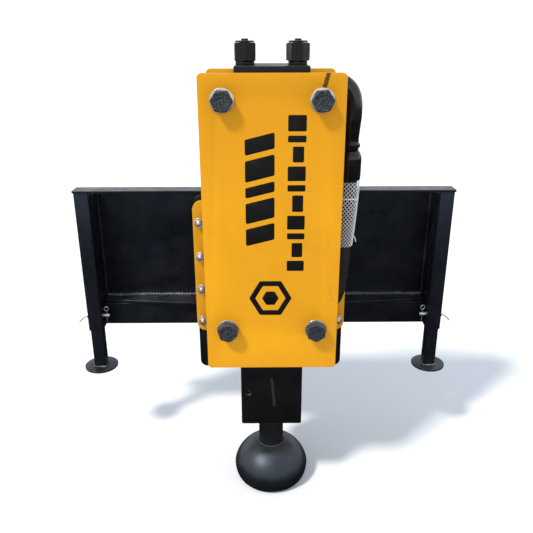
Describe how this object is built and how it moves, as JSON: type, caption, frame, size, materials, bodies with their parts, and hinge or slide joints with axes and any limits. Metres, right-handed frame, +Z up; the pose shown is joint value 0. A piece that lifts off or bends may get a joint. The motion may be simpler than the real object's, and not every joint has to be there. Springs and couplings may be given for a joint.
{
  "type": "hydraulic breaker attachment",
  "caption": "Hydraulic breaker in a two-plate housing with a bell-shaped post driver, on a quick-attach frame with telescoping parking legs.",
  "frame": {"origin": "middle of the quick-attach plate's rear face, where the carrier's coupler bears", "axes": "+Z up along the tool's axis, +Y out of the quick-attach face towards the carrier, +X to the right seen from the front plate"},
  "size_m": [1.2128, 0.4973, 1.309],
  "materials": {
    "orange_enamel": "sprayed orange-yellow enamel, semi-gloss",
    "black_paint": "satin black sprayed paint",
    "blackened_steel": "black oxide on forged steel",
    "ground_steel": "ground and oiled steel",
    "zinc_plate": "bright zinc plate",
    "hose_rubber": "moulded hose rubber and its black fittings",
    "plug_plastic": "black moulded polyethylene",
    "net_plastic": "extruded polyethylene net, milky"
  },
  "bodies": {
    "housing_and_frame": {"front_plate": "orange_enamel", "rear_plate": "orange_enamel", "clamp_bolt_1": "blackened_steel", "clamp_bolt_2": "blackened_steel", "clamp_bolt_3": "blackened_steel", "clamp_bolt_4": "blackened_steel", "back_head": "black_paint", "cylinder": "ground_steel", "front_head": "black_paint", "upper_bush": "ground_steel", "lower_bush": "ground_steel", "tie_rod_1": "blackened_steel", "tie_rod_2": "blackened_steel", "tie_rod_3": "blackened_steel", "tie_rod_4": "blackened_steel", "retainer_pin_front": "ground_steel", "retainer_pin_rear": "ground_steel", "stop_pin": "ground_steel", "valve_body": "ground_steel", "valve_cap": "blackened_steel", "gas_valve": "zinc_plate", "supply_adaptor": "zinc_plate", "return_adaptor": "zinc_plate", "supply_elbow": "hose_rubber", "supply_ferrule": "hose_rubber", "supply_hose": "hose_rubber", "hose_net": "net_plastic", "return_hose": "hose_rubber", "bulkhead_bar": "black_paint", "coupling_left": "blackened_steel", "coupling_right": "blackened_steel", "flange_plate": "orange_enamel", "adaptor_plate": "black_paint", "flange_bolt_1": "zinc_plate", "flange_bolt_2": "zinc_plate", "flange_bolt_3": "zinc_plate", "flange_bolt_4": "zinc_plate", "flange_bolt_5": "zinc_plate", "flange_bolt_6": "zinc_plate", "flange_bolt_7": "zinc_plate", "flange_bolt_8": "zinc_plate", "quick_attach_plate": "black_paint", "top_plate": "black_paint", "shelf": "black_paint", "apron": "black_paint", "leg_sleeve_left": "black_paint", "leg_sleeve_right": "black_paint"},
    "tool": {"tool_shank": "blackened_steel", "driver_bell": "blackened_steel"},
    "piston": {"piston": "ground_steel"},
    "spool": {"valve_spool": "ground_steel"},
    "parking_leg_left": {"leg_left": "black_paint"},
    "pin_left": {"leg_pin_left": "zinc_plate"},
    "clip_left": {"leg_clip_left": "zinc_plate"},
    "plug_left": {"dust_plug_left": "plug_plastic"},
    "parking_leg_right": {"leg_right": "black_paint"},
    "pin_right": {"leg_pin_right": "zinc_plate"},
    "clip_right": {"leg_clip_right": "zinc_plate"},
    "plug_right": {"dust_plug_right": "plug_plastic"}
  },
  "joints": [
    {"name": "tool_slide", "type": "slide", "parent": "housing_and_frame", "child": "tool", "axis": [0, 0, 1], "range_m": [0, 0.045]},
    {"name": "piston_stroke", "type": "slide", "parent": "housing_and_frame", "child": "piston", "axis": [0, 0, 1], "range_m": [0, 0.07]},
    {"name": "spool_shift", "type": "slide", "parent": "housing_and_frame", "child": "spool", "axis": [0, 0, 1], "range_m": [0, 0.012]},
    {"name": "leg_slide_left", "type": "slide", "parent": "housing_and_frame", "child": "parking_leg_left", "axis": [0, 0, 1], "range_m": [-0.28, 0.03]},
    {"name": "pin_float_left", "type": "slide", "parent": "housing_and_frame", "child": "pin_left", "axis": [-1, 0, 0], "range_m": [0, 0.0028]},
    {"name": "clip_pull_left", "type": "slide", "parent": "pin_left", "child": "clip_left", "axis": [0, 0, 1], "range_m": [0, 0.04]},
    {"name": "plug_pull_left", "type": "slide", "parent": "housing_and_frame", "child": "plug_left", "axis": [0, 0, 1], "range_m": [0, 0.035]},
    {"name": "leg_slide_right", "type": "slide", "parent": "housing_and_frame", "child": "parking_leg_right", "axis": [0, 0, 1], "range_m": [-0.28, 0.03]},
    {"name": "pin_float_right", "type": "slide", "parent": "housing_and_frame", "child": "pin_right", "axis": [1, 0, 0], "range_m": [0, 0.0028]},
    {"name": "clip_pull_right", "type": "slide", "parent": "pin_right", "child": "clip_right", "axis": [0, 0, 1], "range_m": [0, 0.04]},
    {"name": "plug_pull_right", "type": "slide", "parent": "housing_and_frame", "child": "plug_right", "axis": [0, 0, 1], "range_m": [0, 0.035]}
  ]
}
